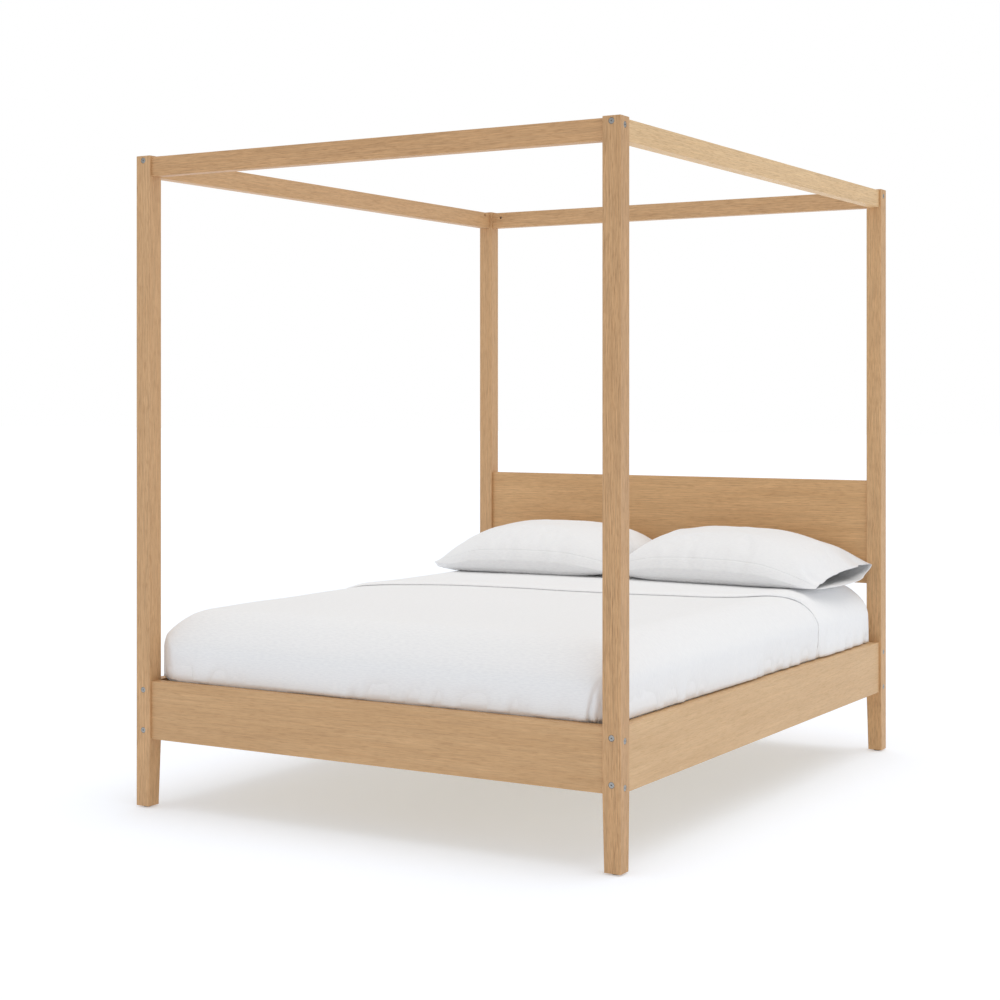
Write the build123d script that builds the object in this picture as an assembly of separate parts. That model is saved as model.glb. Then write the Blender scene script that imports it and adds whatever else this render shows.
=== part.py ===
"""Four poster canopy bed, queen size, as a knock-down solid oak frame with its bedding.

Millimetres. +X is the sleeper's left to right as seen from the foot end, +Y runs from the foot
to the head, +Z is up. The origin is on the floor, at the middle of the frame's plan.
"""
from build123d import *
import os

# ---- Driving dimensions: the timber frame -------------------------------------------------
WIDTH = 1656.0                # over the outer faces of the posts
LENGTH = 2160.0               # over the outer faces of the posts
HEIGHT = 2008.0               # floor to the tops of the posts
POST = 54.0                   # square section of a post
GLIDE_HEIGHT = 5.0            # the posts stand on glides this high
LEG_TAPER = 5.0               # how much each inner face of a leg narrows down to its foot
TAPER_TOP = 206.0             # height where the taper starts
RAIL_THICK = 38.0             # all eight rails, centred on the posts
RAIL_BOTTOM = 212.0           # the four bed rails
RAIL_TOP = 390.0
CANOPY_BOTTOM = 1944.0        # the four canopy rails
CANOPY_TOP = 2004.0
POST_EASE = 2.0               # rounding of the posts' long edges
RAIL_EASE = 1.5               # rounding of the rails' long edges

# ---- Knock-down joints: a bolt and a cross dowel nut, with a wooden dowel ------------------
BOLT_LEVELS = (234.0, 358.0, 1989.0)
LEVEL_SHIFT = 4.5             # bolts along X sit this much lower, bolts along Y this much higher
BOLT_DIAMETER = 6.0
BOLT_HOLE = 7.0
BOLT_LENGTH = 100.0           # under the head
BOLT_HEAD = 17.0
BOLT_HEAD_THICK = 1.8
BOLT_SOCKET = 4.0             # across the flats of the hexagon socket
BOLT_SOCKET_DEPTH = 3.2
HEAD_RECESS = 18.0            # counterbore for the head
HEAD_RECESS_DEPTH = 2.0
NUT_DIAMETER = 10.0
NUT_LENGTH = 20.0
NUT_FROM_RAIL_END = 38.0
DOWEL_LEVELS = (296.0, 1962.0)
DOWEL_DIAMETER = 8.0
DOWEL_LENGTH = 36.0
PLAY = 0.1                    # radial play of dowels, screws and nuts in their holes

# ---- Headboard ---------------------------------------------------------------------------
PANEL_THICK = 22.0
PANEL_BOTTOM = 598.0
PANEL_TOP = 966.0
PANEL_SETBACK = 11.0          # from the front faces of the head posts
PANEL_SIDE_PLAY = 0.5
PANEL_EASE = 1.5
CLEAT_WIDE = 24.0
CLEAT_DEEP = 20.0
CLEAT_END = 14.0              # the cleats stop this short of the panel's top and bottom

# ---- Mattress base -----------------------------------------------------------------------
SLAT_TOP = 300.0
SLAT_THICK = 18.0
SLAT_WIDE = 80.0
SLAT_COUNT = 13
SLAT_SIDE_PLAY = 4.0
SLAT_END_MARGIN = 52.0        # from a cross rail's inner face to the middle of the end slat
SLAT_EASE = 4.0
LEDGER_THICK = 25.0
LEDGER_HIGH = 40.0
LEDGER_LENGTH = 1990.0
LEDGER_SCREWS = 7
BEAM_WIDE = 45.0
BEAM_BOTTOM = 214.0
HANGER_THICK = 2.0
HANGER_FLANGE = 24.0
HANGER_DEPTH = 50.0
HANGER_HIGH = 60.0
CENTRE_LEG = 45.0
CENTRE_LEG_BOTTOM = 16.0
FOOT_PAD = 40.0
FOOT_PAD_THICK = 10.0
FOOT_STUD = 8.0
FOOT_STUD_LENGTH = 44.0
INSERT_DIAMETER = 12.0
INSERT_LENGTH = 20.0
HANGER_BOLT_HALF = 30.0       # how far the leg's hanger bolt reaches into leg and beam

# ---- Bedding -----------------------------------------------------------------------------
MATTRESS_WIDE = 1524.0
MATTRESS_LONG = 2032.0
MATTRESS_HIGH = 299.7
BED_GAP = 0.3                 # soft pieces stay this far from their neighbours
CORNER_ROUND = 70.0           # mattress corners in plan
TOP_ROUND = 50.0
SHEET_THICK = 1.5
COVER_THICK = 3.0
COVER_HEM = 300.0             # the turned-down top sheet takes over from the coverlet here
COVER_TUCK = 322.0            # both are tucked down the sides to this height
TOP_SHEET_THICK = 6.0         # the top sheet with its doubled, turned-down hem
SHEET_TUCK = 306.0
PILLOW_WIDE = 760.0
PILLOW_FRONT = 514.0
PILLOW_CENTRES = (-414.0, 414.0)
PILLOW_CREST = 182.0          # height of the pillow over the sheet

# ---- Places worked out from the above ------------------------------------------------------
HALF_W = WIDTH / 2
HALF_L = LENGTH / 2
POST_X = HALF_W - POST / 2    # middle of a post
POST_Y = HALF_L - POST / 2
INNER_X = HALF_W - POST       # a post's inner faces
INNER_Y = HALF_L - POST
RAIL_IN_X = POST_X - RAIL_THICK / 2
RAIL_IN_Y = POST_Y - RAIL_THICK / 2
SLAT_UNDER = SLAT_TOP - SLAT_THICK
MATTRESS_BOTTOM = SLAT_TOP + BED_GAP
PANEL_FRONT = INNER_Y + PANEL_SETBACK
COVER_INSIDE = 2 * BED_GAP + SHEET_THICK
PILLOW_LIE = MATTRESS_BOTTOM + MATTRESS_HIGH + COVER_INSIDE + TOP_SHEET_THICK + BED_GAP
SIDES = (("left", -1), ("right", 1))
ENDS = (("foot", -1), ("head", 1))


def save(name, shape):
    """Write one piece, or one group of identical pieces, to its own STEP file."""
    export_step(shape, f"parts/{name}.step")


def block(x0, x1, y0, y1, z0, z1):
    """A box between two corners, given in any order along each axis."""
    middle = ((x0 + x1) / 2, (y0 + y1) / 2, (z0 + z1) / 2)
    return Pos(*middle) * Box(abs(x1 - x0), abs(y1 - y0), abs(z1 - z0))


def rod(start, direction, diameter, length):
    """A cylinder from a start point along a direction."""
    return Plane(origin=start, z_dir=direction) * Pos(0, 0, length / 2) * Cylinder(diameter / 2, length)


def ease(solid, axis, radius):
    """Round the straight edges that run along an axis, as a router does on long edges."""
    return fillet(solid.edges().filter_by(axis), radius)


# ---- Fasteners -----------------------------------------------------------------------------
def connector_bolt(head_point, inward):
    """Furniture bolt: a flat disc head with a hexagon socket, on a plain shank."""
    head = Pos(0, 0, BOLT_HEAD_THICK / 2) * Cylinder(BOLT_HEAD / 2, BOLT_HEAD_THICK)
    head = chamfer(head.edges().group_by(Axis.Z)[0], 0.5)
    shank = Pos(0, 0, BOLT_HEAD_THICK + BOLT_LENGTH / 2) * Cylinder(BOLT_DIAMETER / 2, BOLT_LENGTH)
    socket = extrude(RegularPolygon(BOLT_SOCKET / 2, 6, major_radius=False), BOLT_SOCKET_DEPTH)
    return Plane(origin=head_point, z_dir=inward) * (head + shank - socket)


def wood_screw(point, inward, diameter, length, head, grow=0.0):
    """Countersunk screw whose head is flush at a point; grow makes the cutter for its hole."""
    radius = diameter / 2 + grow
    rim = head / 2 + grow
    tip = diameter
    outline = Polyline(
        (0, 0), (rim, 0), (rim, 0.4 + grow), (radius, 0.4 + rim - radius + grow),
        (radius, length - tip), (0.3, length + grow), (0, length + grow), close=True,
    )
    body = revolve(Plane.XZ * make_face(outline), Axis.Z)
    if grow == 0.0:
        body -= extrude(RegularPolygon(head * 0.2, 6), 1.6)
    return Plane(origin=point, z_dir=inward) * body


class ScrewSet:
    """Screws of one size: their solids, and the cutters of their pilot holes."""

    def __init__(self, diameter, length, head):
        self.size = (diameter, length, head)
        self.screws = []
        self.holes = []

    def add(self, point, inward):
        """Drive one screw in, with its head flush at a point."""
        self.screws.append(wood_screw(point, inward, *self.size))
        self.holes.append(wood_screw(point, inward, *self.size, grow=PLAY))

    def save(self, name):
        """Write all the screws as one group of separate solids."""
        save(name, Compound(self.screws))


# ---- Corner joints -------------------------------------------------------------------------
def joint_places(levels, shift):
    """Every corner joint: sides of the bed, direction of the joint, and height."""
    for side_x in (-1, 1):
        for side_y in (-1, 1):
            for level in levels:
                yield side_x, side_y, "X", level - shift
                yield side_x, side_y, "Y", level + shift


def joint_axes(side_x, side_y, along):
    """Unit vectors of a joint: inwards along the rail, and from the rail's inner face outwards."""
    if along == "X":
        return (-side_x, 0, 0), (0, side_y, 0)
    return (0, -side_y, 0), (side_x, 0, 0)


def joint_point(side_x, side_y, along, z, depth):
    """A point on a joint's axis, at a depth from the post's outer face."""
    if along == "X":
        return (side_x * (HALF_W - depth), side_y * POST_Y, z)
    return (side_x * POST_X, side_y * (HALF_L - depth), z)


def offset_point(point, direction, distance):
    """A point moved along a unit direction."""
    return tuple(p + d * distance for p, d in zip(point, direction))


post_cutters = {}
rail_cutters = {}
bolts = {"bed": [], "canopy": []}
nuts = {"bed": [], "canopy": []}
dowels = []


def remember(table, key, cutters):
    """Keep the cutters of a post or rail until it is made."""
    table.setdefault(key, []).extend(cutters)


def rail_key(side_x, side_y, along, z):
    """Name of the rail that a joint holds."""
    end = "foot" if side_y < 0 else "head"
    side = "left" if side_x < 0 else "right"
    if z > (RAIL_TOP + CANOPY_BOTTOM) / 2:
        return "canopy_rail_" + (end if along == "X" else side)
    return f"{end}_rail" if along == "X" else f"side_rail_{side}"


def make_bolted_joints():
    """Bolts, cross dowel nuts and the holes that they need in posts and rails."""
    nut_depth = POST + NUT_FROM_RAIL_END
    reach = HEAD_RECESS_DEPTH + BOLT_LENGTH + 4.0
    for side_x, side_y, along, z in joint_places(BOLT_LEVELS, LEVEL_SHIFT):
        inward, outward = joint_axes(side_x, side_y, along)
        face = joint_point(side_x, side_y, along, z, 0)
        head = joint_point(side_x, side_y, along, z, HEAD_RECESS_DEPTH - BOLT_HEAD_THICK)
        nut_middle = joint_point(side_x, side_y, along, z, nut_depth)
        nut_start = offset_point(nut_middle, outward, -NUT_LENGTH / 2)
        nut_mouth = offset_point(nut_middle, outward, -RAIL_THICK / 2)
        shaft = rod(face, inward, BOLT_HOLE, reach)
        recess = rod(face, inward, HEAD_RECESS, HEAD_RECESS_DEPTH)
        nut_hole = rod(nut_mouth, outward, NUT_DIAMETER + 2 * PLAY, (RAIL_THICK + NUT_LENGTH) / 2 + PLAY)
        remember(post_cutters, (side_x, side_y), [shaft, recess])
        remember(rail_cutters, rail_key(side_x, side_y, along, z), [shaft, nut_hole])
        place = "canopy" if z > CANOPY_BOTTOM else "bed"
        bolts[place].append(connector_bolt(head, inward))
        nut = rod(nut_start, outward, NUT_DIAMETER, NUT_LENGTH)
        thread = rod(face, inward, BOLT_DIAMETER + PLAY, reach + NUT_DIAMETER)
        nuts[place].append(nut - thread)


def make_dowel_joints():
    """Wooden dowels that locate the rails, and their blind holes."""
    half = DOWEL_LENGTH / 2
    for side_x, side_y, along, z in joint_places(DOWEL_LEVELS, 0):
        inward, _ = joint_axes(side_x, side_y, along)
        start = joint_point(side_x, side_y, along, z, POST - half)
        mouth = joint_point(side_x, side_y, along, z, POST - half - 1)
        hole = rod(mouth, inward, DOWEL_DIAMETER + 2 * PLAY, DOWEL_LENGTH + 2)
        remember(post_cutters, (side_x, side_y), [hole])
        remember(rail_cutters, rail_key(side_x, side_y, along, z), [hole])
        dowel = rod(start, inward, DOWEL_DIAMETER, DOWEL_LENGTH)
        dowels.append(chamfer(dowel.edges().filter_by(GeomType.CIRCLE), 0.8))


# ---- Timber --------------------------------------------------------------------------------
def post_section(side_x, side_y, size, z):
    """A square section with rounded corners, flush with the post's two outer faces."""
    x = side_x * (HALF_W - size / 2)
    y = side_y * (HALF_L - size / 2)
    return Pos(x, y, z) * RectangleRounded(size, size, POST_EASE)


def make_post(side_x, side_y):
    """A post with its tapered leg, drilled for its joints."""
    square = post_section(side_x, side_y, POST, TAPER_TOP)
    shaft = extrude(square, HEIGHT - TAPER_TOP)
    shaft = chamfer(shaft.edges().group_by(Axis.Z)[-1], POST_EASE / 2)
    leg = loft([post_section(side_x, side_y, POST - LEG_TAPER, GLIDE_HEIGHT), square])
    return shaft + leg - post_cutters[(side_x, side_y)]


def cross_rail(side_y, bottom, top, name):
    """A rail that runs along X between two posts."""
    y = side_y * POST_Y
    half = RAIL_THICK / 2
    rail = ease(block(-INNER_X, INNER_X, y - half, y + half, bottom, top), Axis.X, RAIL_EASE)
    return rail - rail_cutters[name]


def long_rail(side_x, bottom, top, name):
    """A rail that runs along Y between two posts."""
    x = side_x * POST_X
    half = RAIL_THICK / 2
    rail = ease(block(x - half, x + half, -INNER_Y, INNER_Y, bottom, top), Axis.Y, RAIL_EASE)
    return rail - rail_cutters[name]


def make_glide(side_x, side_y):
    """A nailed glide under a leg: a round plastic button on a steel pin."""
    x = side_x * (HALF_W - (POST - LEG_TAPER) / 2)
    y = side_y * (HALF_L - (POST - LEG_TAPER) / 2)
    button = Pos(x, y, GLIDE_HEIGHT / 2) * Cylinder(13, GLIDE_HEIGHT)
    button = chamfer(button.edges().group_by(Axis.Z)[0], 1.2)
    pin = rod((x, y, GLIDE_HEIGHT), (0, 0, 1), 3.0, 18.0)
    hole = rod((x, y, GLIDE_HEIGHT - 1), (0, 0, 1), 3.0 + 2 * PLAY, 20.0)
    return button + pin, hole


def make_timber():
    """Posts, glides, bed rails and canopy rails."""
    for end, side_y in ENDS:
        for side, side_x in SIDES:
            glide, pin_hole = make_glide(side_x, side_y)
            save(f"glide_{end}_{side}", glide)
            remember(post_cutters, (side_x, side_y), [pin_hole])
            save(f"post_{end}_{side}", make_post(side_x, side_y))
        for name, bottom, top in ((f"{end}_rail", RAIL_BOTTOM, RAIL_TOP),
                                  (f"canopy_rail_{end}", CANOPY_BOTTOM, CANOPY_TOP)):
            save(name, cross_rail(side_y, bottom, top, name))
    for side, side_x in SIDES:
        for name, bottom, top in ((f"side_rail_{side}", RAIL_BOTTOM, RAIL_TOP),
                                  (f"canopy_rail_{side}", CANOPY_BOTTOM, CANOPY_TOP)):
            save(name, long_rail(side_x, bottom, top, name))


def make_headboard():
    """The panel between the head posts, and the two cleats that hold it from behind."""
    screws = ScrewSet(4.0, 32.0, 8.0)
    back = PANEL_FRONT + PANEL_THICK
    reach = INNER_X - PANEL_SIDE_PLAY
    panel = block(-reach, reach, PANEL_FRONT, back, PANEL_BOTTOM, PANEL_TOP)
    panel = ease(panel, Axis.X, PANEL_EASE)
    bottom = PANEL_BOTTOM + CLEAT_END
    top = PANEL_TOP - CLEAT_END
    spots = 4
    for side, side_x in SIDES:
        outer = side_x * INNER_X
        inner = side_x * (INNER_X - CLEAT_WIDE)
        cleat = ease(block(inner, outer, back, back + CLEAT_DEEP, bottom, top), Axis.Z, 1.5)
        first = len(screws.holes)
        for i in range(spots):
            z = bottom + (top - bottom) * (i + 0.5) / spots
            screws.add((inner, back + CLEAT_DEEP / 2, z + 14), (side_x, 0, 0))
            screws.add(((inner + outer) / 2, back + CLEAT_DEEP, z - 14), (0, -1, 0))
        holes = screws.holes[first:]
        remember(post_cutters, (side_x, 1), holes)
        save(f"headboard_cleat_{side}", cleat - holes)
    save("headboard_panel", panel - screws.holes)
    screws.save("headboard_screws")


# ---- Mattress base -------------------------------------------------------------------------
def spread(count, half):
    """Evenly spaced places from -half to half."""
    return [-half + 2 * half * i / (count - 1) for i in range(count)]


def make_ledgers():
    """Battens inside the side rails that carry the slats, with their screws."""
    screws = ScrewSet(5.0, 45.0, 10.0)
    half = LEDGER_LENGTH / 2
    middle_z = SLAT_UNDER - LEDGER_HIGH / 2
    ledgers = {}
    for side, side_x in SIDES:
        inner = side_x * (RAIL_IN_X - LEDGER_THICK)
        outer = side_x * RAIL_IN_X
        ledgers[side] = block(inner, outer, -half, half, SLAT_UNDER - LEDGER_HIGH, SLAT_UNDER)
        first = len(screws.holes)
        for y in spread(LEDGER_SCREWS, half - 75):
            screws.add((inner, y, middle_z), (side_x, 0, 0))
        remember(rail_cutters, f"side_rail_{side}", screws.holes[first:])
        ledgers[side] -= screws.holes[first:]
    screws.save("ledger_screws")
    return ledgers


def make_slats(ledgers):
    """The slats, screwed down to the ledgers at both ends."""
    screws = ScrewSet(4.0, 32.0, 8.0)
    reach = RAIL_IN_X - SLAT_SIDE_PLAY
    for number, y in enumerate(spread(SLAT_COUNT, RAIL_IN_Y - SLAT_END_MARGIN), start=1):
        slat = block(-reach, reach, y - SLAT_WIDE / 2, y + SLAT_WIDE / 2, SLAT_UNDER, SLAT_TOP)
        slat = ease(slat, Axis.X, SLAT_EASE)
        first = len(screws.holes)
        for side_x in (-1, 1):
            screws.add((side_x * (RAIL_IN_X - LEDGER_THICK / 2), y, SLAT_TOP), (0, 0, -1))
        save(f"slat_{number:02d}", slat - screws.holes[first:])
    screws.save("slat_screws")
    for side, ledger in ledgers.items():
        save(f"slat_ledger_{side}", ledger - screws.holes)


def make_hanger(side_y, screws):
    """A pressed steel stirrup that holds one end of the centre beam against a cross rail."""
    wall = side_y * RAIL_IN_Y
    front = wall - side_y * HANGER_THICK
    reach = wall - side_y * HANGER_DEPTH
    half = BEAM_WIDE / 2 + PLAY
    outer = half + HANGER_THICK
    low = BEAM_BOTTOM - HANGER_THICK
    plate = block(-outer - HANGER_FLANGE, outer + HANGER_FLANGE, front, wall, low, low + HANGER_HIGH)
    cradle = block(-outer, outer, reach, wall, low, low + HANGER_HIGH)
    hollow = block(-half, half, reach - side_y, front, BEAM_BOTTOM, low + HANGER_HIGH + 1)
    hanger = plate + (cradle - hollow)
    first = len(screws.holes)
    for side_x in (-1, 1):
        for z in (low + 14, low + HANGER_HIGH - 14):
            screws.add((side_x * (outer + HANGER_FLANGE / 2), front, z), (0, side_y, 0))
    return hanger - screws.holes[first:], screws.holes[first:]


def make_centre_support():
    """The centre beam, its stirrups, and the leg that carries its middle."""
    screws = ScrewSet(4.5, 30.0, 9.0)
    for end, side_y in ENDS:
        hanger, holes = make_hanger(side_y, screws)
        save(f"beam_hanger_{end}", hanger)
        remember(rail_cutters, f"{end}_rail", holes)
    screws.save("hanger_screws")
    half = RAIL_IN_Y - HANGER_THICK - 0.5
    beam = block(-BEAM_WIDE / 2, BEAM_WIDE / 2, -half, half, BEAM_BOTTOM, SLAT_UNDER)
    beam = ease(beam, Axis.Y, RAIL_EASE)
    link_start = (0, 0, BEAM_BOTTOM - HANGER_BOLT_HALF)
    link = rod(link_start, (0, 0, 1), FOOT_STUD, 2 * HANGER_BOLT_HALF)
    link_hole = rod((0, 0, link_start[2] - 1), (0, 0, 1), FOOT_STUD + 2 * PLAY, 2 * HANGER_BOLT_HALF + 2)
    save("centre_beam", beam - link_hole)
    save("centre_leg_hanger_bolt", link)

    leg_half = CENTRE_LEG / 2
    leg = block(-leg_half, leg_half, -leg_half, leg_half, CENTRE_LEG_BOTTOM, BEAM_BOTTOM)
    leg = ease(leg, Axis.Z, POST_EASE)
    base = (0, 0, CENTRE_LEG_BOTTOM)
    insert_hole = rod(base, (0, 0, 1), INSERT_DIAMETER + 2 * PLAY, INSERT_LENGTH)
    stud_hole = rod(base, (0, 0, 1), FOOT_STUD + 1.0, FOOT_STUD_LENGTH)
    insert = rod(base, (0, 0, 1), INSERT_DIAMETER, INSERT_LENGTH)
    insert -= rod(base, (0, 0, 1), FOOT_STUD + 2 * PLAY, INSERT_LENGTH)
    pad = Pos(0, 0, FOOT_PAD_THICK / 2) * Cylinder(FOOT_PAD / 2, FOOT_PAD_THICK)
    pad = chamfer(pad.edges().group_by(Axis.Z)[-1], 3.0)
    stud = rod((0, 0, FOOT_PAD_THICK), (0, 0, 1), FOOT_STUD, FOOT_STUD_LENGTH)
    save("centre_leg", leg - [link_hole, insert_hole, stud_hole])
    save("centre_leg_insert", insert)
    save("centre_leg_foot", pad + stud)


# ---- Bedding -------------------------------------------------------------------------------
def soft_block(grow, bottom):
    """The mattress grown by a distance all round, cut level at its bottom."""
    half_x = MATTRESS_WIDE / 2 + grow
    half_y = MATTRESS_LONG / 2 + grow
    top = MATTRESS_BOTTOM + MATTRESS_HIGH + grow
    body = block(-half_x, half_x, -half_y, half_y, bottom, top)
    body = fillet(body.edges().filter_by(Axis.Z), CORNER_ROUND + grow)
    return fillet(body.edges().group_by(Axis.Z)[-1], TOP_ROUND + grow)


def make_layer(inside, thick, bottom):
    """A cloth layer over the mattress: a thin shell that is open at the bottom."""
    return soft_block(inside + thick, bottom) - soft_block(inside, bottom - 1)


def pillow_outline():
    """A pillow seen from its end: it lies on the sheet and leans back on the headboard."""
    lie = PILLOW_LIE
    back = PANEL_FRONT - BED_GAP - 9.7
    front = PILLOW_FRONT
    return Spline(
        (front, lie + 12), (front + 130, lie + 112), (front + 300, lie + PILLOW_CREST - 8),
        (back - 130, lie + PILLOW_CREST), (back - 12, lie + 132), (back - 40, lie + 40),
        (back - 160, lie + 2.5), (front + 120, lie + 2.0), periodic=True,
    )


def make_pillow(centre):
    """A crowned pillow: its end outline, its front outline and its plan, cut from one solid."""
    half = PILLOW_WIDE / 2
    lie = PILLOW_LIE
    depth = PANEL_FRONT - PILLOW_FRONT
    ends = extrude(Plane.YZ * make_face(pillow_outline()), half, both=True)
    edge = lie + 34
    haunch = lie + PILLOW_CREST * 0.83
    crown = Spline(
        (-half, edge), (-half * 0.62, haunch), (0, lie + PILLOW_CREST + 4), (half * 0.62, haunch), (half, edge),
    )
    floor_line = Polyline((half, edge), (half - 60, lie), (60 - half, lie), (-half, edge))
    front = extrude(Plane.XZ * make_face(crown + floor_line), depth * 3, both=True)
    plan_middle = (PANEL_FRONT + PILLOW_FRONT) / 2
    side = ThreePointArc((half, PANEL_FRONT), (half - 16, plan_middle), (half, PILLOW_FRONT))
    near = ThreePointArc((half, PILLOW_FRONT), (0, PILLOW_FRONT + 12), (-half, PILLOW_FRONT))
    other = ThreePointArc((-half, PILLOW_FRONT), (16 - half, plan_middle), (-half, PANEL_FRONT))
    far = Line((-half, PANEL_FRONT), (half, PANEL_FRONT))
    plan = Pos(0, 0, lie) * extrude(make_face(side + near + other + far), PILLOW_CREST + 10)
    return Pos(centre, 0, 0) * (ends & front & plan)


def make_bedding():
    """Mattress, sheets, coverlet and pillows as plain closed solids."""
    mattress = soft_block(0, MATTRESS_BOTTOM)
    save("mattress", fillet(mattress.edges().group_by(Axis.Z)[0], 20.0))
    save("fitted_sheet", make_layer(BED_GAP, SHEET_THICK, SHEET_TUCK))
    cover = make_layer(COVER_INSIDE, COVER_THICK, COVER_TUCK)
    save("coverlet", cover & block(-HALF_W, HALF_W, -HALF_L, COVER_HEM, 0, HEIGHT))
    top_sheet = make_layer(COVER_INSIDE, TOP_SHEET_THICK, COVER_TUCK)
    save("top_sheet", top_sheet & block(-HALF_W, HALF_W, COVER_HEM + BED_GAP, HALF_L, 0, HEIGHT))
    for (side, _), centre in zip(SIDES, PILLOW_CENTRES):
        save(f"pillow_{side}", make_pillow(centre))


# ---- The whole bed -------------------------------------------------------------------------
os.makedirs("parts", exist_ok=True)
make_bolted_joints()
make_dowel_joints()
make_headboard()
make_slats(make_ledgers())
make_centre_support()
make_timber()
for where in bolts:
    save(f"{where}_bolts", Compound(bolts[where]))
    save(f"{where}_barrel_nuts", Compound(nuts[where]))
save("rail_dowels", Compound(dowels))
make_bedding()
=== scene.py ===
"""Looks of the four poster canopy bed: its oak, its steel, and its made-up bedding.

Metres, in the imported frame: +X is the right-hand side seen from the foot, +Y runs from the foot to
the head, +Z is up, and the floor is at zero. The bedding's places come from the frame's boxes.
"""

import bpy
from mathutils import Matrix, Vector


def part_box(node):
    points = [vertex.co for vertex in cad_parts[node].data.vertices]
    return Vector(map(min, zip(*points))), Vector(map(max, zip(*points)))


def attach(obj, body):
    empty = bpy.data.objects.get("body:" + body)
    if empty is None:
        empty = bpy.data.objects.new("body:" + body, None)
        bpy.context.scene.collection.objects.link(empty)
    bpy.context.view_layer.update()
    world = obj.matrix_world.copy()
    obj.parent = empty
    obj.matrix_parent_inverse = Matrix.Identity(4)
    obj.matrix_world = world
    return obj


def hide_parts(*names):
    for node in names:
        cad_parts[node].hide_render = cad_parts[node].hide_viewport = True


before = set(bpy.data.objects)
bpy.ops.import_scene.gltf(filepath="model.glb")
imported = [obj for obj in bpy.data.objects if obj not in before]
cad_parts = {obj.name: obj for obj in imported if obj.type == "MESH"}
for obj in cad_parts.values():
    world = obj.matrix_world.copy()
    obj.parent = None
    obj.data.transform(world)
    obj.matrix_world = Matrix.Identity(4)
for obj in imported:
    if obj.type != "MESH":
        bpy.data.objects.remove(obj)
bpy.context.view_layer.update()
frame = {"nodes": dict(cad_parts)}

import logging
import math
from dataclasses import dataclass, field
from enum import Enum
from typing import Callable, Iterable, Sequence

import bmesh
import bpy
from mathutils import Vector, noise

MM = 0.001
BODY = "root"
Tree = bpy.types.NodeTree
Socket = bpy.types.NodeSocket
Piece = bpy.types.Object
Tone = tuple[float, float, float]
log = logging.getLogger("canopy_bed")


# ---- Colours and nodes ----
def colour(code: str) -> tuple[float, float, float, float]:
    """Turn an sRGB hex colour into linear light.

    Args:
        code: six hex digits, such as "d3ae82".

    Returns:
        Linear red, green and blue, with an alpha of one.
    """
    channels = [int(code[i:i + 2], 16) / 255 for i in (0, 2, 4)]
    linear = [c / 12.92 if c <= 0.04045 else ((c + 0.055) / 1.055) ** 2.4 for c in channels]
    return (*linear, 1.0)


def feed(tree: Tree, node: bpy.types.Node, inputs: dict) -> None:
    """Set a node's inputs.

    Args:
        tree: the node tree.
        node: the node whose inputs are set.
        inputs: socket name or number to a value, or to the output socket that feeds it.
    """
    for key, value in inputs.items():
        if isinstance(value, Socket):
            tree.links.new(value, node.inputs[key])
        else:
            node.inputs[key].default_value = value


def add_node(tree: Tree, kind: str, inputs: dict | None = None, **settings) -> bpy.types.Node:
    """Add one shader node with its settings, values and links.

    Args:
        tree: the node tree.
        kind: the node's type, without the "ShaderNode" in front.
        inputs: what feed() takes.
        settings: the node's own properties.

    Returns:
        The new node.
    """
    node = tree.nodes.new("ShaderNode" + kind)
    for key, value in settings.items():
        setattr(node, key, value)
    feed(tree, node, inputs or {})
    return node


def ramp(tree: Tree, value: Socket, stops: Sequence[tuple[float, str | float]]) -> Socket:
    """Turn a value into a colour; each stop is a place with a hex colour or a grey level."""
    node = add_node(tree, "ValToRGB", {"Fac": value})
    elements = node.color_ramp.elements
    while len(elements) < len(stops):
        elements.new(1.0)
    for element, (place, shade) in zip(elements, stops):
        element.position = place
        element.color = colour(shade) if isinstance(shade, str) else (shade, shade, shade, 1.0)
    return node.outputs["Color"]


def stretch(tree: Tree, place: Socket, scale: tuple[float, float, float]) -> Socket:
    """Scale coordinates along each axis."""
    return add_node(tree, "Mapping", {"Vector": place, "Scale": scale}).outputs["Vector"]


def mottling(tree: Tree, place: Socket, scale: float, detail: float, roughness: float = 0.5) -> Socket:
    """Soft noise from 0 to 1, with so many features to a metre."""
    values = {"Vector": place, "Scale": scale, "Detail": detail, "Roughness": roughness}
    return add_node(tree, "TexNoise", values).outputs["Fac"]


def wave_scale(period_mm: float) -> float:
    """The scale at which a wave texture repeats every so many millimetres."""
    return 2 * math.pi / 20 / (period_mm * MM)


def spread(tree: Tree, value: Socket, ends: tuple[float, float], start: float = 0.0, stop: float = 1.0,
           **settings) -> Socket:
    """Map a value that runs from start to stop onto the run between two ends."""
    values = {"Value": value, "From Min": start, "From Max": stop, "To Min": ends[0], "To Max": ends[1]}
    return add_node(tree, "MapRange", values, **settings).outputs[0]


def blend(tree: Tree, share: Socket | float, first: Socket | Sequence[float],
          second: Socket | Sequence[float], kind: str = "MIX") -> Socket:
    """Lay the second colour over the first by a share."""
    values = {"Factor": share, 6: first, 7: second}
    return add_node(tree, "Mix", values, data_type="RGBA", blend_type=kind).outputs[2]


def bump(
    tree: Tree, height: Socket, strength: float, distance: float, normal: Socket | None = None,
) -> Socket:
    """Tilt a surface by a height, over the relief that it already has."""
    values = {"Strength": strength, "Distance": distance, "Height": height}
    if normal is not None:
        values["Normal"] = normal
    return add_node(tree, "Bump", values).outputs["Normal"]


def new_material(name: str) -> tuple[bpy.types.Material, Tree, bpy.types.Node]:
    """Make an empty material with a Principled shader on its output."""
    material = bpy.data.materials.new(name)
    material.use_nodes = True
    tree = material.node_tree
    tree.nodes.clear()
    output = tree.nodes.new("ShaderNodeOutputMaterial")
    shader = tree.nodes.new("ShaderNodeBsdfPrincipled")
    tree.links.new(shader.outputs["BSDF"], output.inputs["Surface"])
    return material, tree, shader


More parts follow.
